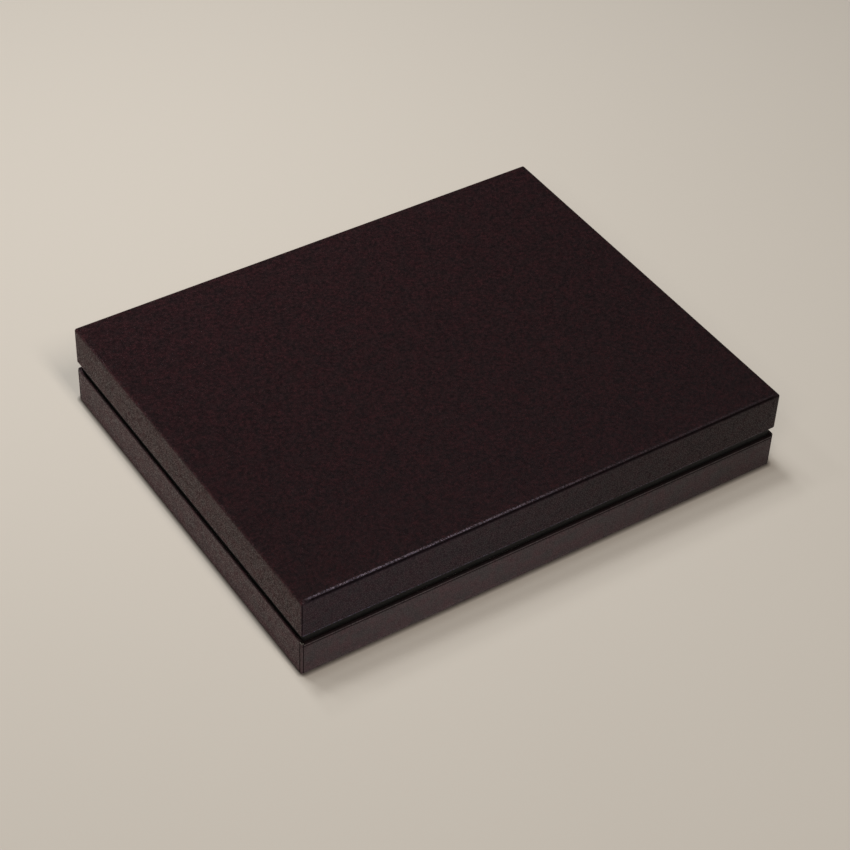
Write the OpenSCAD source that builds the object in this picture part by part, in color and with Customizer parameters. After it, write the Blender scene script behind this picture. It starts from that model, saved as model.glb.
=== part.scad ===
// Rigid presentation box: a wrapped base tray, a black shoulder glued inside it and standing
// above its rim, and a lift-off lid. The lid slides down over the shoulder and comes to rest on
// the shoulder's top edge, which leaves an even shadow gap between lid and base all round.
// Each tray is grey board panels glued edge to edge, taped at its corners with paper stays and
// covered by one sheet of leather-grain paper that folds over the rim and down the inside.
// Origin in the middle of the footprint on the rest plane. X runs along the long side, Y from
// front to back and Z up. Millimetres.

/* [Box] */
// Width of the box, along X
box_w = 320; // [150:1:400]
// Depth of the box, along Y
box_d = 259; // [120:1:400]
// Height of the base tray, from the rest plane to its rim
base_h = 24; // [20:0.5:60]
// Height of the band where the shoulder shows, between the two rims
gap_h = 5.5; // [2:0.5:12]
// Height of the lid, from its rim to its top
lid_h = 25; // [20:0.5:60]

/* [Board] */
// Thickness of the grey board of both trays
board_t = 1.5; // [1.3:0.1:2.5]
// Thickness of the grey board of the shoulder
shoulder_board_t = 1.5; // [1:0.1:2]
// Clearance between the shoulder and the walls of each tray, on each side
shoulder_fit = 0.25; // [0.2:0.05:0.5]

/* [Paper] */
// Thickness of the leather-grain paper and of the black paper
paper_t = 0.15; // [0.1:0.05:0.2]
// Radius of the wrapped edges and corners, outside the paper
edge_r = 1.5; // [1:0.1:1.5]
// Radius of the folds over the rims and over the top of the shoulder, outside the paper
rim_r = 0.4; // [0.3:0.05:0.5]
// How far the base's paper comes down inside its rim
base_turn_in = 15; // [8:1:17]

/* [Corner stays] */
// Thickness of the paper tape that holds a corner of a tray
stay_t = 0.1; // [0.05:0.05:0.2]
// Length of each leg of a stay from its corner
stay_leg = 11; // [8:1:20]
// How far a stay ends below the rim of its tray
stay_gap = 1; // [0.5:0.5:4]

/* [Hidden] */

$fn = 48;

// Colours as the photograph shows them, and plain board and kraft tape inside
leather_grain = [0.20, 0.14, 0.13];
black_paper = [0.08, 0.08, 0.08];
grey_board = [0.55, 0.53, 0.50];
kraft_tape = [0.66, 0.53, 0.38];

// Heights
box_h = base_h + gap_h + lid_h;
skin_t = paper_t + board_t;
wall_t = board_t + 2 * paper_t;
ceiling_z = box_h - skin_t - paper_t;

// Shoulder: a ring whose inner corners are the axes that its outer corners are bent around
shoulder_t = shoulder_board_t + 2 * paper_t;
shoulder_inset = wall_t + shoulder_fit + shoulder_t;
shoulder_w = box_w - 2 * shoulder_inset;
shoulder_d = box_d - 2 * shoulder_inset;

// Sides, counted anticlockwise from the one that faces +X
RIGHT = 0;
BACK = 1;
LEFT = 2;
FRONT = 3;

// Corners, as the signs of X and Y there
BACK_RIGHT = [1, 1];
BACK_LEFT = [-1, 1];
FRONT_LEFT = [-1, -1];
FRONT_RIGHT = [1, -1];

// ---- Shapes that the trays and the shoulder share ----

// Sweeps a profile round a rectangle of w by d: straight runs along its four sides, and quarter
// turns about its corners. The profile's X is the distance out from the rectangle, its Y is height.
module swept(w, d) {
    for (side = [0:3]) {
        reach = side % 2 == 0 ? w / 2 : d / 2;
        run = side % 2 == 0 ? d : w;
        rotate([0, 0, 90 * side])
            translate([reach, 0, 0])
                rotate([90, 0, 0])
                    linear_extrude(height = run, center = true)
                        children();
        rotate([0, 0, 90 * side])
            translate([reach, run / 2, 0])
                rotate_extrude(angle = 90)
                    children();
    }
}

// A quarter of a disc, towards +X and either up or down
module quarter(r, up = true) {
    intersection() {
        circle(r);
        translate([0, up ? 0 : -r])
            square(r);
    }
}

// Outer edge of a tray of height h in section, out from its corner axis and drawn in by an inset:
// the rounded fold round the floor, the flat wall and the tight fold at the rim
module tray_section(h, inset) {
    translate([0, edge_r])
        quarter(edge_r - inset, up = false);
    translate([0, edge_r])
        square([edge_r - inset, h - edge_r - rim_r]);
    translate([0, h - rim_r])
        square([edge_r - rim_r, rim_r - inset]);
    translate([edge_r - rim_r, h - rim_r])
        quarter(rim_r - inset);
}

// Solid block inside the skin of a tray, with its floor down, drawn in by an inset
module tray_block(h, inset) {
    axes_w = box_w - 2 * edge_r;
    axes_d = box_d - 2 * edge_r;
    translate([-axes_w / 2, -axes_d / 2, inset])
        cube([axes_w, axes_d, h - 2 * inset]);
    swept(axes_w, axes_d)
        tray_section(h, inset);
}

// Outline of a tray in plan, drawn in by an inset, with rounded corners
module tray_plan(inset) {
    w = box_w - 2 * inset;
    d = box_d - 2 * inset;
    r = edge_r - inset;
    square([w - 2 * r, d], center = true);
    square([w, d - 2 * r], center = true);
    for (x = [-1, 1], y = [-1, 1])
        translate([x * (w / 2 - r), y * (d / 2 - r)])
            circle(r);
}

// Upright block of the space inside a tray's walls, between two heights
module well(inset, z_low, z_high) {
    translate([inset - box_w / 2, inset - box_d / 2, z_low])
        cube([box_w - 2 * inset, box_d - 2 * inset, z_high - z_low]);
}

// ---- Pieces of a tray, all drawn with its floor down ----

// Strip of paper tape bent round one corner of a tray, pressed flush into the boards
module stay(h, corner) {
    translate([0, 0, skin_t])
        linear_extrude(height = h - skin_t - stay_gap)
            intersection() {
                difference() {
                    tray_plan(paper_t);
                    tray_plan(paper_t + stay_t);
                }
                translate([corner.x * box_w / 2, corner.y * box_d / 2])
                    square(2 * (stay_leg + paper_t), center = true);
            }
}

// Floor panel, under the walls
module floor_board(h) {
    intersection() {
        tray_block(h, paper_t);
        well(0, 0, skin_t);
    }
}

// One wall panel, standing on the floor panel. The panels of the long sides run right across,
// and those of the short sides fit between them.
module wall_board(h, side) {
    long_side = side == FRONT || side == BACK;
    wall_w = long_side ? box_w : box_d - 2 * skin_t;
    face = long_side ? box_d / 2 : box_w / 2;
    difference() {
        intersection() {
            tray_block(h, paper_t);
            rotate([0, 0, 90 * side])
                translate([face - skin_t, -wall_w / 2, skin_t])
                    cube([skin_t, wall_w, h]);
        }
        for (corner = [BACK_RIGHT, BACK_LEFT, FRONT_LEFT, FRONT_RIGHT])
            stay(h, corner);
    }
}

// One sheet of paper over the floor and the walls, over the rim and down inside by turn_in
module wrap(h, turn_in) {
    difference() {
        tray_block(h, 0);
        tray_block(h, paper_t);
        well(wall_t, h - board_t, h + 1);
    }
    difference() {
        well(skin_t, h - turn_in, h - paper_t / 2);
        well(wall_t, 0, h + 1);
    }
}

// ---- Base ----

module base_board(side) {
    color(grey_board)
        wall_board(base_h, side);
}

module base_bottom_board() {
    color(grey_board)
        floor_board(base_h);
}

module base_stay(corner) {
    color(kraft_tape)
        stay(base_h, corner);
}

module base_wrap() {
    color(leather_grain)
        wrap(base_h, base_turn_in);
}

// Sheet of black paper on the floor, cut to fit inside the shoulder
module base_lining() {
    color(black_paper)
        well(shoulder_inset, skin_t, skin_t + paper_t);
}

// ---- Shoulder ----

// The shoulder in section, out from its inner face and drawn in by an inset. Its top edges are
// rounded, and its foot stands on the floor panel of the base.
module shoulder_section(inset) {
    r = rim_r - inset;
    top = ceiling_z - inset;
    translate([inset, skin_t])
        square([shoulder_t - 2 * inset, top - r - skin_t]);
    translate([inset + r, top - r])
        square([shoulder_t - 2 * inset - 2 * r, r]);
    translate([shoulder_t - inset - r, top - r])
        quarter(r);
    translate([inset + r, top - r])
        mirror([1, 0])
            quarter(r);
}

// One board of the shoulder. Those of the long sides take in the corners.
module shoulder_board(side) {
    long_side = side == FRONT || side == BACK;
    board_w = long_side ? box_w : shoulder_d + 2 * paper_t;
    face = long_side ? shoulder_d / 2 : shoulder_w / 2;
    color(grey_board)
        intersection() {
            swept(shoulder_w, shoulder_d)
                shoulder_section(paper_t);
            rotate([0, 0, 90 * side])
                translate([face + paper_t, -board_w / 2, 0])
                    cube([shoulder_t, board_w, box_h]);
        }
}

// Strip of black paper up the outside of the boards, over their top edges and down the inside
module shoulder_wrap() {
    color(black_paper)
        swept(shoulder_w, shoulder_d)
            difference() {
                shoulder_section(0);
                shoulder_section(paper_t);
                translate([paper_t, 0])
                    square([shoulder_board_t, base_h]);
            }
}

// ---- Lid: a tray turned over, so its floor is the top of the box ----

module upside_down() {
    translate([0, 0, box_h])
        mirror([0, 0, 1])
            children();
}

module lid_board(side) {
    color(grey_board)
        upside_down()
            wall_board(lid_h, side);
}

module lid_top_board() {
    color(grey_board)
        upside_down()
            floor_board(lid_h);
}

module lid_stay(corner) {
    color(kraft_tape)
        upside_down()
            stay(lid_h, corner);
}

module lid_wrap() {
    color(leather_grain)
        upside_down()
            wrap(lid_h, lid_h - skin_t);
}

// Sheet of black paper on the ceiling, which rests on the top edge of the shoulder
module lid_lining() {
    color(black_paper)
        well(wall_t, ceiling_z, ceiling_z + paper_t);
}

base_bottom_board();
base_board(FRONT);  // base_front_board
base_board(BACK);  // base_back_board
base_board(LEFT);  // base_left_board
base_board(RIGHT);  // base_right_board
base_stay(FRONT_LEFT);  // base_stay_front_left
base_stay(FRONT_RIGHT);  // base_stay_front_right
base_stay(BACK_LEFT);  // base_stay_back_left
base_stay(BACK_RIGHT);  // base_stay_back_right
base_wrap();
base_lining();
shoulder_board(FRONT);  // shoulder_front_board
shoulder_board(BACK);  // shoulder_back_board
shoulder_board(LEFT);  // shoulder_left_board
shoulder_board(RIGHT);  // shoulder_right_board
shoulder_wrap();
lid_top_board();
lid_board(FRONT);  // lid_front_board
lid_board(BACK);  // lid_back_board
lid_board(LEFT);  // lid_left_board
lid_board(RIGHT);  // lid_right_board
lid_stay(FRONT_LEFT);  // lid_stay_front_left
lid_stay(FRONT_RIGHT);  // lid_stay_front_right
lid_stay(BACK_LEFT);  // lid_stay_back_left
lid_stay(BACK_RIGHT);  // lid_stay_back_right
lid_wrap();
lid_lining();
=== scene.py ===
import math

import bmesh
import bpy
from mathutils import Matrix, Vector, noise


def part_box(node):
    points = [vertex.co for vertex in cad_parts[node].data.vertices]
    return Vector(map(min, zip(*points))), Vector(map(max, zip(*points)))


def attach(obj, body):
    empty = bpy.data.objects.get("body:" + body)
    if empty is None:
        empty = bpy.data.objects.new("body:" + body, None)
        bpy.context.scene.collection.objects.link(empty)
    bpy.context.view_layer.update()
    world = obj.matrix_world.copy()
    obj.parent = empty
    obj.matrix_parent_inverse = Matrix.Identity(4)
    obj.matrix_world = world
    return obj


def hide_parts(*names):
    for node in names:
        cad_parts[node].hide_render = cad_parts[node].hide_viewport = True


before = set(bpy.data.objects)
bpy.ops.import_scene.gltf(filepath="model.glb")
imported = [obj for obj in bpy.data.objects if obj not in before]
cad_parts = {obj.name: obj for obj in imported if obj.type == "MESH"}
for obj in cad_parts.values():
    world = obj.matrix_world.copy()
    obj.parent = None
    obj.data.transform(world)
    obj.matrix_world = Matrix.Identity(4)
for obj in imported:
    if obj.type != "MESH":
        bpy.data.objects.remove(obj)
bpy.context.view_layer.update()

MM = 0.001


# ---- Sizes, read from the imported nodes, in metres ----

lid_low, lid_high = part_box("lid_wrap")
_, base_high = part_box("base_wrap")
board_low, board_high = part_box("lid_top_board")
neck_low, neck_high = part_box("shoulder_wrap")
neck_board_low, neck_board_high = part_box("shoulder_front_board")
floor_low, floor_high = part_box("base_lining")
roof_low, roof_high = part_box("lid_lining")

BOX_W = lid_high.x - lid_low.x
BOX_D = lid_high.y - lid_low.y
BOX_H = lid_high.z
BASE_H = base_high.z
LID_H = lid_high.z - lid_low.z
PAPER = lid_high.z - board_high.z
BOARD = board_high.z - board_low.z
WALL = BOARD + 2 * PAPER
SKIN = BOARD + PAPER
NECK = neck_board_high.y - neck_board_low.y + 2 * PAPER


# ---- How the paper is folded, lapped and worn, and where light and shade are painted on it ----
# The tables are in millimetres and degrees. A share runs from 0, none, to 1, full.

FOLD_R = 1.5 * MM
BASE_RIM_R = 0.6 * MM
LID_RIM_R = 0.45 * MM
RIM_IN_R = 0.45 * MM
NECK_FOLD_R = 0.4 * MM
BASE_TURN_IN = 15 * MM

# How far hand-laid paper wavers, and how long the waves are on each kind of sheet
WAVE = 0.04 * MM
TRAY_WAVE_SIZE = 60 * MM
NECK_WAVE_SIZE = 45 * MM
LINING_WAVE_SIZE = 35 * MM

# How close together a sheet's points lie on its even stretches
TRAY_STEP = 5 * MM
TRAY_WALL_STEP = 2.5 * MM
TRAY_INSIDE_STEP = 3 * MM
NECK_STEP = 6 * MM
LINING_STEP = 8 * MM
# Slack for places that are compared
HAIR = 0.01 * MM

# The outside has closer rows just below the rim: how far below they start, and each row's height there
RIM_ROWS_BELOW = 2.9 * MM
RIM_ROWS = (0.0, 0.5, 0.9, 1.4, 1.9, 2.4)

# The lid's front edge is pressed, and a painted highlight runs along it. Each row is how far in
# from the fold a place lies, how many degrees the surface leans there and how strong the painted
# highlight is.
ROLL = (
    (0.0, 22.0, 0.4), (0.3, 20.0, 1.0), (0.6, 16.0, 1.0),
    (1.0, 10.0, 0.85), (1.4, 4.0, 0.15), (1.8, 0.0, 0.0),
)
# Shade of the front fold: degrees round the fold, how dark
FOLD_SHADE = (
    (0.0, 0.05), (12.0, 0.45), (27.0, 0.88), (45.0, 0.85), (63.0, 0.5), (81.0, 0.1), (90.0, 0.0),
)
# How many degrees round the front fold the painted highlight ends
FOLD_HIGHLIGHT_END = 9.0
# How strong the painted highlight on the front edge is along its length: X, share
FRONT_HIGHLIGHT_ALONG = ((-160.0, 0.3), (-150.0, 1.1), (-60.0, 1.2), (30.0, 0.22), (160.0, 0.1))
# The front edge's lean, painted shade and painted highlight fade out over this length before the
# corners
FRONT_FADE = 5 * MM

# Painted shade and painted highlight along the base's rim: how far below its top, how dark, how much
# highlight
RIM_BANDS = (
    (0.6, 0.95, 0.0), (1.1, 0.75, 0.2), (1.6, 0.0, 0.55), (2.1, 0.95, 0.0),
    (2.6, 0.8, 0.0), (3.0, 0.1, 0.0), (3.5, 0.0, 0.0),
)
# Painted shadow on the top of the base's rim, under the lid: how dark, how much highlight
RIM_TOP = (0.9, 0.0)
# A face of the rim belongs to its top where its direction points up by more than this
RIM_TOP_RISE = 0.8
# How much painted highlight the rims carry at the back, and how much more at the front
LID_RIM_HIGHLIGHT = (0.25, 0.35)
BASE_RIM_HIGHLIGHT = (0.2, 0.8)
# Painted light thrown up from the floor onto the base's foot: height, share; and where it ends
FOOT_BOUNCE_LIGHT = ((0.0, 0.5), (0.6, 0.45), (1.5, 0.22), (4.0, 0.0))
FOOT_BOUNCE_LIGHT_TOP = 4.1 * MM
# Wear of the upright corners
CORNER_WEAR = 0.7

# How the paper laps at a tray's upright corners. Each row is a place along the skin from the middle of
# the corner, positive towards the short side, then how deep the skin lies back there and how dark the
# line of the cut edge is. On the lid one cut edge runs up the corner. On the base the folded-in ear
# shows between two cut edges.
LID_LAP = (
    (-1.50, 0.00, 0.0), (-0.50, 0.05, 0.0), (-0.34, 0.09, 1.0),
    (-0.03, 0.09, 1.0), (0.03, 0.02, 1.0), (0.30, 0.0, 0.0),
)
BASE_LAP = (
    (-1.17, 0.00, 0.0), (-1.06, 0.02, 0.9), (-1.00, 0.09, 1.0), (-0.72, 0.09, 1.0), (-0.55, 0.05, 0.0),
    (1.22, 0.05, 0.0), (1.30, 0.09, 1.0), (1.80, 0.09, 1.0), (1.88, 0.02, 0.9), (2.10, 0.0, 0.0),
)
# The same for the overlap of the shoulder strip, which lies at the back, and how far it is from the
# middle there as a share of the width
NECK_LAP = (
    (-3.0, 0.0, 0.0), (-0.22, 0.08, 0.4), (-0.03, 0.10, 0.9), (0.03, 0.01, 0.7), (0.25, 0.0, 0.0),
)
NECK_LAP_PLACE = 0.31
# The dark mitre across the shoulder strip's top edge at each corner
MITRE_DARK = 0.8

# Sides, counted anticlockwise from the one that faces +X
RIGHT, BACK, LEFT, FRONT = SIDES = range(4)
SHORT_SIDES = (RIGHT, LEFT)


# ---- Camera, solved from the photograph's straight edges ----

FOCAL_PX = 2356.92
FRAME_PX = 850
SENSOR_MM = 36.0
CAM_AZIMUTH = math.radians(-34.8528)
CAM_ELEVATION = math.radians(42.1227)
CAM_ROLL = math.radians(2.67314)
CAM_PLACE = Vector((-0.590488, -0.851520, 0.941851))
CLIP = (0.01, 60)


def make_camera():
    ahead = Vector((
        -math.sin(CAM_AZIMUTH) * math.cos(CAM_ELEVATION),
        math.cos(CAM_AZIMUTH) * math.cos(CAM_ELEVATION),
        -math.sin(CAM_ELEVATION),
    ))
    level = Vector((math.cos(CAM_AZIMUTH), math.sin(CAM_AZIMUTH), 0))
    rise = level.cross(ahead)
    right = math.cos(CAM_ROLL) * level + math.sin(CAM_ROLL) * rise
    up = math.cos(CAM_ROLL) * rise - math.sin(CAM_ROLL) * level
    data = bpy.data.cameras.new("camera")
    data.sensor_width = SENSOR_MM
    data.lens = FOCAL_PX * SENSOR_MM / FRAME_PX
    data.clip_start, data.clip_end = CLIP
    camera = bpy.data.objects.new("camera", data)
    turn = Matrix((right, up, -ahead)).transposed()
    camera.matrix_world = Matrix.Translation(CAM_PLACE) @ turn.to_4x4()
    bpy.context.scene.collection.objects.link(camera)
    bpy.context.scene.camera = camera


make_camera()
bpy.context.scene.view_settings.view_transform = "Standard"


# ---- Materials ----

class Nodes:
    """A material's node tree with short calls for what the materials here use."""

    def __init__(self, name):
        self.material = bpy.data.materials.new(name)
        self.material.use_nodes = True
        self.tree = self.material.node_tree
        self.tree.nodes.clear()
        self.shader = self.new("ShaderNodeBsdfPrincipled")
        out = self.new("ShaderNodeOutputMaterial")
        self.join(self.shader.outputs["BSDF"], out.inputs["Surface"])
        self.place = self.new("ShaderNodeTexCoord").outputs["Object"]

    def new(self, kind, **settings):
        node = self.tree.nodes.new(kind)
        for key, value in settings.items():
            setattr(node, key, value)
        return node

    def join(self, a, b):
        self.tree.links.new(a, b)

    def feed(self, socket, value):
        """Joins a socket to another one, or sets it to a plain value."""
        if isinstance(value, bpy.types.NodeSocket):
            self.join(value, socket)
        else:
            socket.default_value = value

    def finish(self, **sockets):
        """Feeds the shader's sockets, with _ for each space in a name, and returns the material."""
        for name, value in sockets.items():
            self.feed(self.shader.inputs[name.replace("_", " ")], value)
        return self.material

    def noise(self, size, detail=2.0, rough=0.5, output="Fac"):
        """Noise whose blotches are about size metres across."""
        node = self.new("ShaderNodeTexNoise")
        self.join(self.place, node.inputs["Vector"])
        node.inputs["Scale"].default_value = 1 / size
        node.inputs["Detail"].default_value = detail
        node.inputs["Roughness"].default_value = rough
        return node.outputs[output]

    def cells(self, size, feature, place):
        """Distances in a pattern of cells about size metres across."""
        node = self.new("ShaderNodeTexVoronoi", feature=feature)
        self.join(place, node.inputs["Vector"])
        node.inputs["Scale"].default_value = 1 / size
        return node.outputs["Distance"]

    def math(self, kind, a, b=0.0, clamp=False):
        node = self.new("ShaderNodeMath", operation=kind, use_clamp=clamp)
        self.feed(node.inputs[0], a)
        self.feed(node.inputs[1], b)
        return node.outputs[0]

    def times(self, a, b, clamp=False):
        return self.math("MULTIPLY", a, b, clamp)

    def plus(self, a, b):
        return self.math("ADD", a, b)

    def vector(self, kind, a, b=None):
        """Vector maths on a and b. SCALE takes b as its factor."""
        node = self.new("ShaderNodeVectorMath", operation=kind)
        self.feed(node.inputs[0], a)
        if b is not None:
            self.feed(node.inputs["Scale" if kind == "SCALE" else 1], b)
        return node.outputs["Value" if kind in ("DISTANCE", "LENGTH") else "Vector"]

    def scaled(self, value, low, high, to_low=0.0, to_high=1.0):
        """Maps low..high to to_low..to_high and clamps it there."""
        node = self.new("ShaderNodeMapRange")
        self.join(value, node.inputs["Value"])
        keys = ("From Min", "From Max", "To Min", "To Max")
        for key, number in zip(keys, (low, high, to_low, to_high)):
            node.inputs[key].default_value = number
        return node.outputs["Result"]

    def mix(self, share, a, b, blend="MIX"):
        """Mixes two colours, each a socket or three numbers."""
        node = self.new("ShaderNodeMix", data_type="RGBA", blend_type=blend)
        self.feed(node.inputs["Factor"], share)
        for socket, value in ((node.inputs[6], a), (node.inputs[7], b)):
            self.feed(socket, value if isinstance(value, bpy.types.NodeSocket) else (*value, 1))
        return node.outputs[2]

    def stirred(self, size, amount):
        """Object coordinates pushed about by noise, so that cells don't look regular."""
        swirl = self.vector("SUBTRACT", self.noise(size, output="Color"), (0.5, 0.5, 0.5))
        return self.vector("ADD", self.place, self.vector("SCALE", swirl, amount))

    def flatness(self, upright, flat):
        """One value on upright faces and another on faces that lie flat."""
        node = self.new("ShaderNodeSeparateXYZ")
        self.join(self.new("ShaderNodeTexCoord").outputs["Normal"], node.inputs[0])
        return self.scaled(self.math("ABSOLUTE", node.outputs["Z"]), 0.0, 1.0, upright, flat)

    def painted(self, name):
        """A share that the mesh carries at its points."""
        return self.new("ShaderNodeAttribute", attribute_name=name).outputs["Fac"]

    def bump(self, height, depth, before=None):
        """A normal bumped by height times depth metres, on top of the one before."""
        node = self.new("ShaderNodeBump")
        node.inputs["Strength"].default_value = 1.0
        node.inputs["Distance"].default_value = depth
        self.join(height, node.inputs["Height"])
        if before:
            self.join(before, node.inputs["Normal"])
        return node.outputs["Normal"]


# Leather grain: how far across its pebbles, creases and patches are, and how deep they are pressed
PEBBLE = 1.3 * MM
STIR_SIZE, STIR_REACH = 2.6 * MM, 1.1 * MM
TOOTH = 0.35 * MM
RIPPLE = 9 * MM
GRAIN_DEPTH = 0.075 * MM
RIPPLE_DEPTH = 0.05 * MM
MOTTLE = 2.2 * MM
RED_PATCH = 7 * MM
WEAR_SPECK = 0.8 * MM
LIT_AND_RUBBED_SPECK = 0.9 * MM
GLOSS_PATCH = 3.5 * MM
# How strongly the mottle and the creases show on upright faces, where the paper is drawn tighter over
# the board, and on flat ones
GRAIN_UPRIGHT, GRAIN_FLAT = 0.4, 0.78
# What reddish patches do to the colour, how dark creases are, and the colour of cut edges and painted
# shade
RED_TINT = (1.35, 0.95, 1.0)
CREASE_TONE = 0.3
CUT_EDGE_AND_SHADE = (0.002, 0.001, 0.001)


def leather_grain(name, dark, light, worn, lit_and_rubbed_colour, ior):
    """Embossed leather-grain cover paper: pebbles about a millimetre across, parted by fine creases."""
    n = Nodes(name)
    seam_and_shade, wear, lit_and_rubbed = n.painted("seam_and_shade"), n.painted("wear"), n.painted("lit_and_rubbed")

    # Relief
    place = n.stirred(STIR_SIZE, STIR_REACH)
    crease = n.scaled(n.cells(PEBBLE, "DISTANCE_TO_EDGE", place), 0.02, 0.22)
    pebble = n.scaled(n.cells(PEBBLE, "SMOOTH_F1", place), 0.0, 0.75, 1.0, 0.0)
    height = n.plus(n.times(crease, 0.55), n.times(pebble, 0.45))
    height = n.plus(height, n.times(n.noise(TOOTH, 2.0, 0.6), 0.2))
    ripple = n.bump(n.noise(RIPPLE), RIPPLE_DEPTH)

    # Colour: mottle, reddish patches and dark creases, then worn places, painted highlights and painted
    # floor light, then cut edges and painted shade
    share = n.flatness(GRAIN_UPRIGHT, GRAIN_FLAT)
    mottle = n.scaled(n.noise(MOTTLE, 3.0, 0.7), 0.36, 0.64)
    mottle = n.plus(n.times(n.math("SUBTRACT", mottle, 0.5), share), 0.5)
    colour = n.mix(mottle, dark, light)
    red = n.scaled(n.noise(RED_PATCH, 3.0, 0.6), 0.35, 0.65)
    colour = n.mix(red, colour, RED_TINT, "MULTIPLY")
    dent = n.times(n.scaled(crease, 0.0, 1.0, 0.7, 0.0), share)
    colour = n.mix(dent, colour, tuple(CREASE_TONE * c for c in dark))
    speck = n.times(wear, n.scaled(n.noise(WEAR_SPECK, 3.0, 0.7), 0.52, 0.66))
    colour = n.mix(n.times(speck, 0.4, clamp=True), colour, worn)
    # Painted highlights along the lid's front edge and the rims, and painted floor light on the base's
    # foot
    speck = n.times(lit_and_rubbed, n.scaled(n.noise(LIT_AND_RUBBED_SPECK, 3.0, 0.7), 0.45, 0.58), clamp=True)
    colour = n.mix(speck, colour, lit_and_rubbed_colour)
    # Cut edges darken here, and so does the painted shade along the lid's front fold and the base's rim
    colour = n.mix(n.times(seam_and_shade, 0.9, clamp=True), colour, CUT_EDGE_AND_SHADE)

    # Gloss: smoother on the pebbles and where it is worn, none at the cut edges and the painted shade
    rough = n.scaled(crease, 0.0, 1.0, 0.80, 0.33)
    rough = n.plus(rough, n.scaled(n.noise(GLOSS_PATCH), 0.3, 0.7, -0.06, 0.08))
    rough = n.math("SUBTRACT", rough, n.times(wear, 0.14))
    return n.finish(
        Base_Color=colour,
        Roughness=n.math("MAXIMUM", rough, seam_and_shade),
        Specular_IOR_Level=n.scaled(seam_and_shade, 0.0, 1.0, 0.5, 0.05),
        IOR=ior,
        Normal=n.bump(height, GRAIN_DEPTH, ripple),
    )


def black_paper(name):
    """Uncoated black paper: fine fibres, a soft tooth and hardly any shine."""
    n = Nodes(name)
    fibre = n.noise(0.35 * MM, 4.0, 0.7)
    tooth = n.noise(0.12 * MM)
    wave = n.bump(n.noise(24 * MM), 0.08 * MM)
    tone = n.scaled(n.plus(fibre, n.times(n.noise(6 * MM), 0.5)), 0.5, 1.0)
    colour = n.mix(tone, (0.003, 0.003, 0.0031), (0.008, 0.0078, 0.0078))
    speck = n.times(n.painted("wear"), n.scaled(n.noise(0.6 * MM, 3.0, 0.7), 0.45, 0.7))
    colour = n.mix(n.times(speck, 0.35, clamp=True), colour, (0.04, 0.038, 0.037))
    cut = n.times(n.painted("seam_and_shade"), 0.8, clamp=True)
    return n.finish(
        Base_Color=n.mix(cut, colour, (0.002, 0.002, 0.002)),
        Roughness=n.scaled(fibre, 0.3, 0.7, 0.62, 0.8),
        IOR=1.45,
        Normal=n.bump(n.plus(fibre, n.times(tooth, 0.5)), 0.02 * MM, wave),
    )


def grey_board(name):
    """Recycled grey board: pressed fibres with darker and lighter flecks."""
    n = Nodes(name)
    fibre = n.noise(0.5 * MM, 5.0, 0.75)
    fleck = n.scaled(n.cells(2.4 * MM, "F1", n.stirred(1.2 * MM, 1.6 * MM)), 0.02, 0.16)
    pulp = n.scaled(n.noise(5 * MM, 3.0), 0.35, 0.65)
    colour = n.mix(pulp, (0.20, 0.185, 0.165), (0.30, 0.28, 0.25))
    colour = n.mix(n.scaled(fibre, 0.35, 0.7, 0.0, 0.5), colour, (0.38, 0.36, 0.33))
    colour = n.mix(n.scaled(fleck, 0.0, 1.0, 0.6, 0.0), colour, (0.09, 0.08, 0.075))
    return n.finish(
        Base_Color=colour,
        Roughness=n.scaled(pulp, 0.0, 1.0, 0.86, 0.95),
        Normal=n.bump(fibre, 0.06 * MM),
    )


def kraft_tape(name):
    """Brown kraft tape: long fibres, a little sheen where the glue has come through."""
    n = Nodes(name)
    fibre = n.noise(0.4 * MM, 5.0, 0.7)
    stain = n.scaled(n.noise(7 * MM, 3.0), 0.4, 0.7)
    colour = n.mix(n.scaled(fibre, 0.3, 0.7), (0.30, 0.19, 0.10), (0.44, 0.30, 0.17))
    colour = n.mix(n.times(stain, 0.4), colour, (0.22, 0.13, 0.06))
    return n.finish(
        Base_Color=colour,
        Roughness=n.scaled(stain, 0.0, 1.0, 0.75, 0.5),
        Normal=n.bump(fibre, 0.03 * MM),
    )


# The backdrop's paper, darkest and lightest
PAPER_DARK = (0.492, 0.444, 0.397)
PAPER_LIGHT = (0.504, 0.456, 0.409)
# A painted pool of light on it: the middle on the floor, the reach, and the colour there
LIGHT_POOL_PLACE = (-0.07, 0.36)
LIGHT_POOL_SIZE = 0.55
LIGHT_POOL_GAIN = 1.4
LIGHT_POOL_COLOUR = tuple(LIGHT_POOL_GAIN * c for c in (0.498, 0.450, 0.403))
# A painted contact shadow round the foot: how far in under the box it starts to fade, how far it
# reaches from there, how dark it is and its colour
CONTACT_SHADOW_IN = 2 * MM
CONTACT_SHADOW_REACH = 2.5 * MM
CONTACT_SHADOW_DARK = 0.78
CONTACT_SHADOW_COLOUR = (0.055, 0.042, 0.036)


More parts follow.
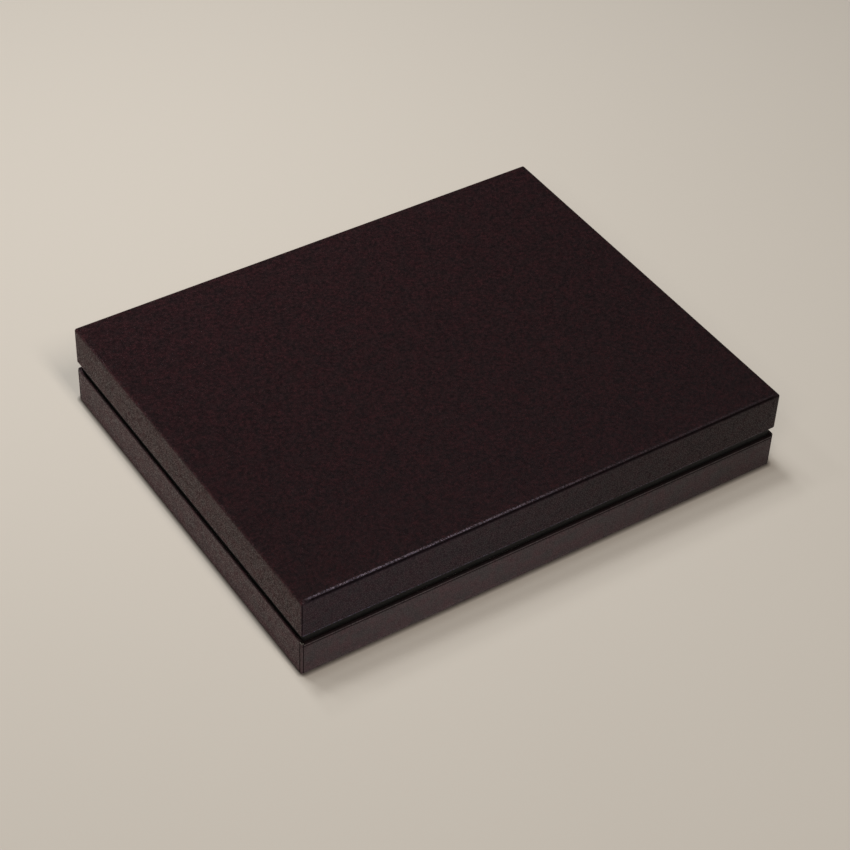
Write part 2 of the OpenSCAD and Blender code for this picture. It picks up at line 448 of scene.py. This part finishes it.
def backdrop(name):
    """Pale warm paper under and behind the object, with a painted pool of light and a painted contact
    shadow at the foot.
    """
    n = Nodes(name)
    cloud = n.scaled(n.noise(0.35, 3.0), 0.3, 0.7)
    # A painted pool of light on the floor
    far = n.vector("DISTANCE", n.place, (*LIGHT_POOL_PLACE, 0.0))
    fall = n.math("POWER", n.math("DIVIDE", far, LIGHT_POOL_SIZE), 2.0)
    light_pool = n.math("POWER", math.e, n.times(fall, -1.0))
    colour = n.mix(light_pool, n.mix(cloud, PAPER_DARK, PAPER_LIGHT), LIGHT_POOL_COLOUR)
    # A painted contact shadow round the box's foot
    half = (BOX_W / 2 - CONTACT_SHADOW_IN, BOX_D / 2 - CONTACT_SHADOW_IN, 0.0)
    past = n.vector("SUBTRACT", n.vector("ABSOLUTE", n.place), half)
    away = n.vector("LENGTH", n.vector("MAXIMUM", past))
    contact_shadow = n.scaled(away, CONTACT_SHADOW_IN, CONTACT_SHADOW_IN + CONTACT_SHADOW_REACH, 1.0, 0.0)
    return n.finish(
        Base_Color=n.mix(n.times(contact_shadow, CONTACT_SHADOW_DARK), colour, CONTACT_SHADOW_COLOUR),
        Roughness=0.9,
        Specular_IOR_Level=0.1,
        Normal=n.bump(n.noise(0.6 * MM), 0.01 * MM),
    )


lid_paper = leather_grain(
    "lid_leather_grain_paper",
    dark=(0.0040, 0.0024, 0.0027), light=(0.0184, 0.0080, 0.0083),
    worn=(0.10, 0.06, 0.06), lit_and_rubbed_colour=(0.108, 0.080, 0.090), ior=1.30,
)
# The base's copy of the leather-grain paper is painted lighter than the lid's, standing in for the
# brighter light on the base's faces
base_paper = leather_grain(
    "base_leather_grain_paper",
    dark=(0.0172, 0.0136, 0.0137), light=(0.0332, 0.0252, 0.0248),
    worn=(0.12, 0.08, 0.07), lit_and_rubbed_colour=(0.110, 0.085, 0.080), ior=1.33,
)
neck_paper = black_paper("black_paper")
bare_board = grey_board("grey_board")
bare_tape = kraft_tape("kraft_tape")


# ---- Helpers for shapes ----

def spread(low, high, step):
    """Even steps from low to high, ends included."""
    count = max(1, round((high - low) / step))
    return [low + (high - low) * i / count for i in range(count + 1)]


def arc(centre, radius, start, end, count):
    """Points of a profile on an arc, each with its outward direction. Degrees from +U towards +V."""
    points = []
    for i in range(count + 1):
        a = math.radians(start + (end - start) * i / count)
        out = (math.cos(a), math.sin(a))
        points.append((centre[0] + radius * out[0], centre[1] + radius * out[1], out))
    return points


def line(a, b, out, step):
    """Points of a profile between a and b, both left out, with one outward direction."""
    count = max(1, round(math.dist(a, b) / step))
    return [
        (a[0] + (b[0] - a[0]) * i / count, a[1] + (b[1] - a[1]) * i / count, out)
        for i in range(1, count)
    ]


def unseen(points):
    """The same points without an outward direction, for a sheet's glued face."""
    return [(point[0], point[1], None) for point in points]


def between(rows, key):
    """The rest of a table's row at key, on straight lines between rows and level past its ends."""
    if key <= rows[0][0]:
        return rows[0][1:]
    for a, b in zip(rows, rows[1:]):
        if key <= b[0]:
            t = (key - a[0]) / (b[0] - a[0])
            return tuple(p + (q - p) * t for p, q in zip(a[1:], b[1:]))
    return rows[-1][1:]


def lapped(laps, distance):
    """How deep, in metres, and how dark a lap is at a distance in metres from its middle."""
    if not laps[0][0] < distance / MM < laps[-1][0]:
        return 0.0, 0.0
    depth, dark = between(laps, distance / MM)
    return depth * MM, dark


def clamped(value):
    """A value kept between 0 and 1."""
    return min(1.0, max(0.0, value))


def waver(place, out, size, seed):
    """Pulls a point in by a little that changes slowly along the surface, as on hand-laid paper."""
    v = Vector(place) / size + Vector((seed, seed * 0.7, -seed))
    return Vector(place) - Vector(out) * WAVE * clamped(0.5 + 0.5 * noise.noise(v))


def hoop_faces(bm, rows, closed=False):
    """Faces between neighbouring rows of points that each run round the box."""
    count = len(rows[0])
    for a, b in zip(rows, rows[1:] + rows[:1] if closed else rows[1:]):
        for i in range(count):
            j = (i + 1) % count
            bm.faces.new((a[i], a[j], b[j], b[i]))


def grid_faces(bm, grid):
    """Faces between the points of a flat grid."""
    for a, b in zip(grid, grid[1:]):
        for i in range(len(a) - 1):
            bm.faces.new((a[i], b[i], b[i + 1], a[i + 1]))


MERGE = 0.0005 * MM
SHORTEST = 0.0002 * MM
SHARP = math.radians(40)


def mesh_object(name, bm):
    """Closes up a bmesh, puts it in the scene and shades it, leaning where its points say so."""
    bmesh.ops.remove_doubles(bm, verts=bm.verts, dist=MERGE)
    bmesh.ops.dissolve_degenerate(bm, edges=bm.edges, dist=SHORTEST)
    bmesh.ops.recalc_face_normals(bm, faces=bm.faces)
    mesh = bpy.data.meshes.new(name)
    bm.to_mesh(mesh)
    bm.free()
    mesh.polygons.foreach_set("use_smooth", [True] * len(mesh.polygons))
    mesh.set_sharp_from_angle(angle=SHARP)
    if "lean" in mesh.attributes:
        leans = [Vector(item.vector) for item in mesh.attributes["lean"].data]
        mesh.normals_split_custom_set_from_vertices(
            [v.normalized() if v.length > 0.5 else v for v in leans]
        )
        mesh.attributes.remove(mesh.attributes["lean"])
    piece = bpy.data.objects.new(name, mesh)
    bpy.context.scene.collection.objects.link(piece)
    return piece


class Ring:
    """Columns round a rectangle: straight sides and turned corners. A profile is swept along them.
    A column is its side, its place on a straight side or None, and its turn in a corner or None."""

    def __init__(self, width, depth, xs, ys, turns):
        self.half = (width / 2, depth / 2)
        self.columns = []
        for side in SIDES:
            run = ys if side in SHORT_SIDES else xs
            sign = 1 if side in (RIGHT, FRONT) else -1
            self.columns += [(side, q, None) for q in sorted(sign * place for place in run)]
            # turns are counted from the long side to the short one
            angles = [90 - t for t in turns] if side in SHORT_SIDES else turns
            self.columns += [(side, None, t) for t in sorted(angles)]

    def at(self, column, u):
        """Place and outward direction in plan, u out from the rectangle."""
        side, q, turn = column
        reach, run = self.half if side in SHORT_SIDES else self.half[::-1]
        if turn is None:
            q = max(-run - min(u, 0), min(run + min(u, 0), q))
            x, y, nx, ny = reach + u, q, 1.0, 0.0
        else:
            a = math.radians(turn)
            nx, ny = math.cos(a), math.sin(a)
            if u > 0:
                x, y = reach + u * nx, run + u * ny
            else:
                x, y = reach + u, run + u
        c, s = ((1, 0), (0, 1), (-1, 0), (0, -1))[side]
        return (x * c - y * s, x * s + y * c), (nx * c - ny * s, nx * s + ny * c)

    def from_corner(self, column, radius):
        """How far along the skin a column is from the nearest corner's middle, positive on the short
        side."""
        side, q, turn = column
        if turn is not None:
            towards_short = 90 - turn if side in SHORT_SIDES else turn
            return radius * math.radians(towards_short - 45)
        run = self.half[1] if side in SHORT_SIDES else self.half[0]
        along = radius * math.pi / 4 + run - abs(q)
        return along if side in SHORT_SIDES else -along


# ---- The two leather-grain sheets ----

def tray_ring(laps):
    """Columns of a tray, close together at the paper's cut edges and where the front edge rolls off."""
    half_x, half_y = BOX_W / 2 - FOLD_R, BOX_D / 2 - FOLD_R
    quarter = FOLD_R * math.pi / 4
    xs = spread(-half_x, half_x, TRAY_STEP)
    ys = set(spread(-half_y, half_y, TRAY_STEP))
    ys |= {row[0] * MM - half_y for row in ROLL if row[0]}
    turns = {9.0 * i for i in range(1, 10)}
    for row in laps:
        past = row[0] * MM - quarter
        if past > 0:
            ys |= {half_y - past, past - half_y}
        elif row[0] * MM > -quarter:
            turns.add(45 + math.degrees(row[0] * MM / FOLD_R))
    ys = sorted(ys)
    return xs, ys, Ring(BOX_W - 2 * FOLD_R, BOX_D - 2 * FOLD_R, xs, ys, sorted(turns))


def tray_profile(height, turn_in, rim_r):
    """A tray sheet's section: up the outside, over the rim, down inside and back along the board."""
    inner = FOLD_R - WALL
    deep = height - turn_in
    rim = height - rim_r
    inner_rim = height - RIM_IN_R
    below = rim - RIM_ROWS_BELOW

    shown = arc((0, FOLD_R), FOLD_R, -90, 0, 10)
    shown += line((FOLD_R, FOLD_R), (FOLD_R, below), (1, 0), TRAY_WALL_STEP)
    shown += [(FOLD_R, below + row * MM, (1, 0)) for row in RIM_ROWS]
    shown += arc((FOLD_R - rim_r, rim), rim_r, 0, 90, 6)
    shown += arc((inner + RIM_IN_R, inner_rim), RIM_IN_R, 90, 180, 5)
    shown += line((inner, inner_rim), (inner, deep), (-1, 0), TRAY_INSIDE_STEP)
    shown += [(inner, deep, (-1, 0))]

    glued = [(inner + PAPER, deep), (inner + PAPER, inner_rim)]
    glued += arc((inner + RIM_IN_R, inner_rim), RIM_IN_R - PAPER, 180, 90, 3)
    glued += arc((FOLD_R - rim_r, rim), rim_r - PAPER, 90, 0, 3)
    glued += arc((0, FOLD_R), FOLD_R - PAPER, 0, -90, 5)
    return shown + unseen(glued)


def tray_wrap(name, height, turn_in, laps, place, seed, rim_r, is_lid):
    """One sheet over a tray's floor and walls, over the rim and down inside. The tray stands floor down
    in its own frame, and place puts a point of it where it belongs on the box."""
    xs, ys, ring = tray_ring(laps)
    inner = FOLD_R - WALL
    rim = height - rim_r
    bm = bmesh.new()
    seam_and_shade_layer = bm.verts.layers.float.new("seam_and_shade")
    wear_layer = bm.verts.layers.float.new("wear")
    lit_and_rubbed_layer = bm.verts.layers.float.new("lit_and_rubbed")
    lean_layer = bm.verts.layers.float_vector.new("lean")

    def lean(vertex, point, angle, share):
        """Tilts the shading towards the front by an angle from the tray's floor, faded by share."""
        if share:
            steep = math.radians(angle) * share
            direction = Vector((0, -math.sin(steep), -math.cos(steep)))
            vertex[lean_layer] = place(point + direction) - place(point)

    def along_front(x):
        """How much the front edge's lean, painted shade and painted highlight show, faded out before
        the corners.
        """
        return clamped((xs[-1] - abs(x)) / FRONT_FADE)

    def paint_front_fold(vertex, point, x, out):
        """The lid's front fold leans with the edge, gets painted shade, and a painted highlight where
        it meets the top.
        """
        angle = math.degrees(math.acos(clamped(-out[1])))
        finish = along_front(x)
        first_lean, first_highlight = between(ROLL, 0.0)
        lean(vertex, point, first_lean + (90 - first_lean) * angle / 90, finish)
        shade = between(FOLD_SHADE, angle)[0] * finish
        vertex[seam_and_shade_layer] = max(vertex[seam_and_shade_layer], shade)
        fading = first_highlight * max(0.0, 1 - angle / FOLD_HIGHLIGHT_END)
        vertex[lit_and_rubbed_layer] = fading * between(FRONT_HIGHLIGHT_ALONG, x / MM)[0] * finish

    def paint_base_rim(vertex, v, out, front):
        """Painted shade and painted highlight lines along the base's rim, strongest at the front."""
        on_top = out[1] >= RIM_TOP_RISE
        shade, lit_and_rubbed = RIM_TOP if on_top else between(RIM_BANDS, (height - v) / MM)
        vertex[seam_and_shade_layer] = max(vertex[seam_and_shade_layer], shade * front)
        vertex[lit_and_rubbed_layer] = lit_and_rubbed * (BASE_RIM_HIGHLIGHT[0] + BASE_RIM_HIGHLIGHT[1] * front)

    def make_vertex(column, u, v, out):
        """A point of the sheet with its marks. Out is None on the glued face."""
        (x, y), (nx, ny) = ring.at(column, u)
        if out is None:
            return bm.verts.new(place(Vector((x, y, v))))
        side, _, turn = column
        front = max(0.0, -ny) ** 2
        lap = clamped(v / FOLD_R) if u >= 0 else 0.0
        depth, dark = lapped(laps, ring.from_corner(column, FOLD_R))
        normal = Vector((nx * out[0], ny * out[0], out[1]))
        point = Vector((x, y, v)) - normal * depth * lap
        point = waver(point, normal, TRAY_WAVE_SIZE, seed)
        vertex = bm.verts.new(place(point))
        vertex[seam_and_shade_layer] = dark * lap
        vertex[wear_layer] = abs(out[0] * out[1])
        if turn is not None and out == (1, 0):
            vertex[wear_layer] = CORNER_WEAR * math.sin(math.radians(2 * turn))
        if is_lid:
            if side == FRONT and turn is None and v <= FOLD_R and u >= 0:
                paint_front_fold(vertex, point, x, out)
            # The lid's lower rim gets a painted highlight, stronger at the front
            if v > rim - HAIR and u > inner + RIM_IN_R:
                vertex[lit_and_rubbed_layer] = LID_RIM_HIGHLIGHT[0] + LID_RIM_HIGHLIGHT[1] * front
        else:
            if v > rim - RIM_ROWS_BELOW - HAIR and u > inner + 0.5 * RIM_IN_R:
                paint_base_rim(vertex, v, out, front)
            # The base's foot is painted lighter, for light thrown up from the floor
            if v < FOOT_BOUNCE_LIGHT_TOP and u >= 0:
                vertex[lit_and_rubbed_layer] = between(FOOT_BOUNCE_LIGHT, v / MM)[0]
        return vertex

    def floor_vertex(x, y, shown):
        """A point of the tray's floor, on its outside or on the face glued to the board."""
        if not shown:
            return bm.verts.new(place(Vector((x, y, PAPER))))
        point = waver((x, y, 0.0), (0, 0, -1), TRAY_WAVE_SIZE, seed)
        vertex = bm.verts.new(place(point))
        inward = (y - ys[0]) / MM
        # The top's last stretch before the front fold leans, and gets a painted highlight
        if is_lid and inward < ROLL[-1][0]:
            angle, lit_and_rubbed = between(ROLL, inward)
            finish = along_front(x)
            lean(vertex, point, angle, finish)
            vertex[lit_and_rubbed_layer] = lit_and_rubbed * between(FRONT_HIGHLIGHT_ALONG, x / MM)[0] * finish
        return vertex

    profile = tray_profile(height, turn_in, rim_r)
    hoop_faces(bm, [[make_vertex(c, u, v, out) for c in ring.columns] for u, v, out in profile])
    for shown in (True, False):
        grid_faces(bm, [[floor_vertex(x, y, shown) for y in ys] for x in xs])
    return mesh_object(name, bm)


def upright(point):
    """The base is a tray as it stands."""
    return point


def turned_over(point):
    """The lid is a tray whose floor is the top of the box."""
    return Vector((point.x, point.y, BOX_H - point.z))


base_sheet = tray_wrap(
    "base_leather_sheet", BASE_H, BASE_TURN_IN, BASE_LAP, upright,
    seed=3.1, rim_r=BASE_RIM_R, is_lid=False,
)
lid_sheet = tray_wrap(
    "lid_leather_sheet", LID_H, LID_H - SKIN, LID_LAP, turned_over,
    seed=11.7, rim_r=LID_RIM_R, is_lid=True,
)


# ---- The black papers ----

def neck_profile(foot, top):
    """The strip's section: up the outside, over the top edge, down inside and back along the board."""
    r = NECK_FOLD_R
    shown = [(NECK, foot, (1, 0))]
    shown += line((NECK, foot), (NECK, top - r), (1, 0), NECK_STEP)
    shown += arc((NECK - r, top - r), r, 0, 90, 5)
    shown += arc((r, top - r), r, 90, 180, 5)
    shown += line((0, top - r), (0, foot), (-1, 0), NECK_STEP)
    shown += [(0, foot, (-1, 0))]
    glued = [(PAPER, foot)]
    glued += arc((r, top - r), r - PAPER, 180, 90, 3)
    glued += arc((NECK - r, top - r), r - PAPER, 90, 0, 3)
    glued += [(NECK - PAPER, foot)]
    return shown + unseen(glued)


def shoulder_strip(name, seed):
    """The black strip up the outside of the shoulder, over its top edge and down the inside."""
    width = neck_high.x - neck_low.x - 2 * NECK
    depth = neck_high.y - neck_low.y - 2 * NECK
    joint = NECK_LAP_PLACE * width
    xs = set(spread(-width / 2, width / 2, NECK_STEP)) | {joint + row[0] * MM for row in NECK_LAP}
    ys = spread(-depth / 2, depth / 2, NECK_STEP)
    ring = Ring(width, depth, sorted(xs), ys, [11.25 * i for i in range(1, 8)])
    bm = bmesh.new()
    seam_and_shade_layer = bm.verts.layers.float.new("seam_and_shade")
    wear_layer = bm.verts.layers.float.new("wear")

    def make_vertex(column, u, v, out):
        (x, y), (nx, ny) = ring.at(column, u)
        if out is None:
            return bm.verts.new((x, y, v))
        side, q, turn = column
        on_back = side == BACK and turn is None
        drop, dark = lapped(NECK_LAP, -q - joint) if on_back else (0.0, 0.0)
        normal = Vector((nx * out[0], ny * out[0], out[1]))
        point = Vector((x, y, v)) - normal * drop
        vertex = bm.verts.new(waver(point, normal, NECK_WAVE_SIZE, seed))
        vertex[seam_and_shade_layer] = MITRE_DARK if turn == 45 and out[1] > 0.5 else dark
        vertex[wear_layer] = 2 * abs(out[0] * out[1])
        return vertex

    profile = neck_profile(neck_low.z, neck_high.z)
    rows = [[make_vertex(c, u, v, out) for c in ring.columns] for u, v, out in profile]
    hoop_faces(bm, rows, closed=True)
    return mesh_object(name, bm)


def laid_sheet(name, low, high, margin, face_up, seed):
    """A sheet of paper glued flat, cut a little short all round, with faint waves on its free face."""
    bm = bmesh.new()
    w, d = (high.x - low.x) / 2 - margin, (high.y - low.y) / 2 - margin
    xs, ys = spread(-w, w, LINING_STEP), spread(-d, d, LINING_STEP)

    def make_vertex(x, y, is_top):
        z = high.z if is_top else low.z
        if is_top == face_up:
            wave = abs(WAVE * noise.noise(Vector((x, y, seed)) / LINING_WAVE_SIZE))
            z += -wave if face_up else wave
        return bm.verts.new((x, y, z))

    bottom, top = [[[make_vertex(x, y, is_top) for y in ys] for x in xs] for is_top in (False, True)]
    grid_faces(bm, bottom)
    grid_faces(bm, top)
    for i in range(len(xs) - 1):
        for j in (0, -1):
            bm.faces.new((bottom[i][j], bottom[i + 1][j], top[i + 1][j], top[i][j]))
    for j in range(len(ys) - 1):
        for i in (0, -1):
            bm.faces.new((bottom[i][j], bottom[i][j + 1], top[i][j + 1], top[i][j]))
    return mesh_object(name, bm)


neck_sheet = shoulder_strip("shoulder_paper_strip", seed=5.3)
base_floor = laid_sheet(
    "base_floor_paper", floor_low, floor_high, margin=0.15 * MM, face_up=True, seed=2.0,
)
lid_ceiling = laid_sheet(
    "lid_ceiling_paper", roof_low, roof_high, margin=0.2 * MM, face_up=False, seed=7.0,
)


# ---- Pieces on their bodies, and finishes for the boards and stays that stay as they are ----

PIECES = (
    (base_sheet, "base", "base_wrap", "leather_grain_paper", base_paper),
    (lid_sheet, "lid", "lid_wrap", "leather_grain_paper", lid_paper),
    (neck_sheet, "base", "shoulder_wrap", "black_paper", neck_paper),
    (base_floor, "base", "base_lining", "black_paper", neck_paper),
    (lid_ceiling, "lid", "lid_lining", "black_paper", neck_paper),
)
for piece, body, node, slot, material in PIECES:
    piece.data.materials.append(material)
    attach(piece, body)
    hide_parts(node)

boards = [node for name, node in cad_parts.items() if name.endswith("_board")]
stays = [node for name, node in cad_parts.items() if "_stay_" in name]
for nodes, material in ((boards, bare_board), (stays, bare_tape)):
    for node in nodes:
        node.data.materials.clear()
        node.data.materials.append(material)


# ---- Backdrop and light ----

# Rings of the floor out to where it bends up, the bend's radius, the wall above it, and how many
# columns the floor has
FLOOR_RINGS = (0.35, 1.0, 2.5, 5.0)
BEND_R = 1.2
WALL_H = 1.6
FLOOR_COLUMNS = 64


def make_backdrop():
    """A wide level floor that sweeps up into a low wall far away."""
    section = [(r, 0.0) for r in FLOOR_RINGS]
    for degrees in range(15, 91, 15):
        a = math.radians(degrees)
        section.append((FLOOR_RINGS[-1] + BEND_R * math.sin(a), BEND_R * (1 - math.cos(a))))
    section.append((FLOOR_RINGS[-1] + BEND_R, BEND_R + WALL_H))
    turns = [2 * math.pi * i / FLOOR_COLUMNS for i in range(FLOOR_COLUMNS)]
    bm = bmesh.new()
    rows = [[bm.verts.new((r * math.cos(a), r * math.sin(a), z)) for a in turns] for r, z in section]
    bm.faces.new(rows[0])
    hoop_faces(bm, rows)
    floor = mesh_object("floor", bm)
    floor.data.materials.append(backdrop("backdrop_paper"))
    return floor


floor = make_backdrop()
wraps = [base_sheet, lid_sheet]
others = [floor, neck_sheet, base_floor, lid_ceiling, *boards, *stays]

KEY_COLOUR = (0.96, 1.0, 1.0)
FILL_COLOUR = (1.0, 0.95, 0.87)
MIDDLE = (0, 0, 0)
# The key is a row of lamps at one height, which gives the photograph's layered shadow: X, Y, power
KEY_HEIGHT = 3.0
KEY_LAMPS = {
    "key_a": (-0.08, 0.12, 16.8),
    "key_b": (-0.30, 0.75, 12.4),
    "key_c": (-0.05, 0.90, 14.6),
    "key_d": (-0.60, 1.30, 7.6),
    "key_e": (-0.05, 1.60, 6.6),
    "key_f": (-1.80, 1.50, 5.3),
}
# How a light shows: in matt and glossy reflection, in matt alone, in gloss alone
BOTH, MATT, GLOSS = (True, True), (True, False), (False, True)
# Name, place, aim, width and length, power, colour, what it falls on, how it shows
LIGHTS = [
    (name, (x, y, KEY_HEIGHT), MIDDLE, (0.3, 0.45), power, KEY_COLOUR, others, BOTH)
    for name, (x, y, power) in KEY_LAMPS.items()
]
LIGHTS += [
    ("fill_floor", (0.0, -2.2, 3.2), MIDDLE, (0.5, 1.8), 51.0, FILL_COLOUR, others, BOTH),
    ("fill", (0.0, -2.2, 3.2), MIDDLE, (0.5, 1.8), 54.0, FILL_COLOUR, wraps, BOTH),
    ("fill_left", (-2.0, -1.6, 2.6), MIDDLE, (1.0, 1.0), 16.0, FILL_COLOUR, others + wraps, BOTH),
    ("over", (-0.15, 0.50, 0.50), (0, 0.05, 0.05), (0.2, 0.2), 6.9, (1.0, 1.05, 1.15), wraps, MATT),
    ("edge", (0.27, -0.15, 0.95), (-0.1, -0.13, 0.05), (0.18, 0.50), 2.7, (1.0, 0.80, 0.92),
     wraps, GLOSS),
    ("left", (-1.5, 0.3, 0.20), (0, 0, 0.03), (0.5, 0.2), 27.0, (1.0, 0.99, 1.0),
     [lid_sheet], MATT),
    ("left_low", (-1.5, 0.3, 0.10), (0, 0, 0.02), (0.5, 0.1), 14.0, (1.0, 0.65, 0.75),
     [base_sheet], MATT),
    ("back", (0.1, 1.6, 0.20), (0, 0.13, 0.04), (0.6, 0.2), 9.0, (0.80, 0.98, 1.15),
     [lid_sheet], MATT),
    ("back_low", (0.1, 1.6, 0.10), (0, 0.13, 0.02), (0.6, 0.1), 5.0, (1.0, 0.95, 1.0),
     [base_sheet], MATT),
    ("right", (1.6, 0.1, 0.20), (0.16, 0, 0.04), (0.5, 0.2), 6.0, (0.55, 1.0, 1.10),
     [lid_sheet], MATT),
    ("right_low", (1.6, 0.1, 0.10), (0.16, 0, 0.02), (0.5, 0.1), 3.0, (1.0, 1.0, 1.0),
     [base_sheet], MATT),
    ("front_low", (-0.09, -0.42, 0.02), (-0.09, -0.13, 0.015), (0.12, 0.03), 0.75, (1.0, 1.05, 1.15),
     [base_sheet], MATT),
    ("front_high", (-0.16, -0.42, 0.05), (-0.15, -0.13, 0.045), (0.12, 0.03), 0.9, (0.6, 0.9, 1.4),
     [lid_sheet], MATT),
]
# A light that drops less than this on its way shines nearly level, and its length stands upright
LEVEL_DROP = 0.2


def softbox(name, place, aim, size, power, colour):
    """A rectangular area light at place, facing aim. Its length runs from front to back, or upright."""
    data = bpy.data.lights.new(name, "AREA")
    data.shape = "RECTANGLE"
    data.size, data.size_y = size
    data.energy = power
    data.color = colour
    light = bpy.data.objects.new(name, data)
    along = Vector((0, 0, 1) if abs(place[2] - aim[2]) < LEVEL_DROP else (0, 1, 0))
    z = (Vector(place) - Vector(aim)).normalized()
    y = (along - z * along.dot(z)).normalized()
    x = y.cross(z)
    turn = Matrix((x, y, z)).transposed()
    light.matrix_world = Matrix.Translation(place) @ turn.to_4x4()
    light.visible_camera = False
    bpy.context.scene.collection.objects.link(light)
    return light


def only_for(light, name, things):
    """Lets a light fall on some things alone."""
    group = bpy.data.collections.new(name)
    for thing in things:
        group.objects.link(thing)
    light.light_linking.receiver_collection = group


for name, place, aim, size, power, colour, things, shows in LIGHTS:
    light = softbox(name, place, aim, size, power, colour)
    light.visible_diffuse, light.visible_glossy = shows
    only_for(light, f"{name}_receivers", things)

WORLD_COLOUR = (1.0, 0.94, 0.88, 1)
WORLD_STRENGTH = 0.03
world = bpy.data.worlds.new("studio")
world.use_nodes = True
background = world.node_tree.nodes["Background"]
background.inputs["Color"].default_value = WORLD_COLOUR
background.inputs["Strength"].default_value = WORLD_STRENGTH
bpy.context.scene.world = world
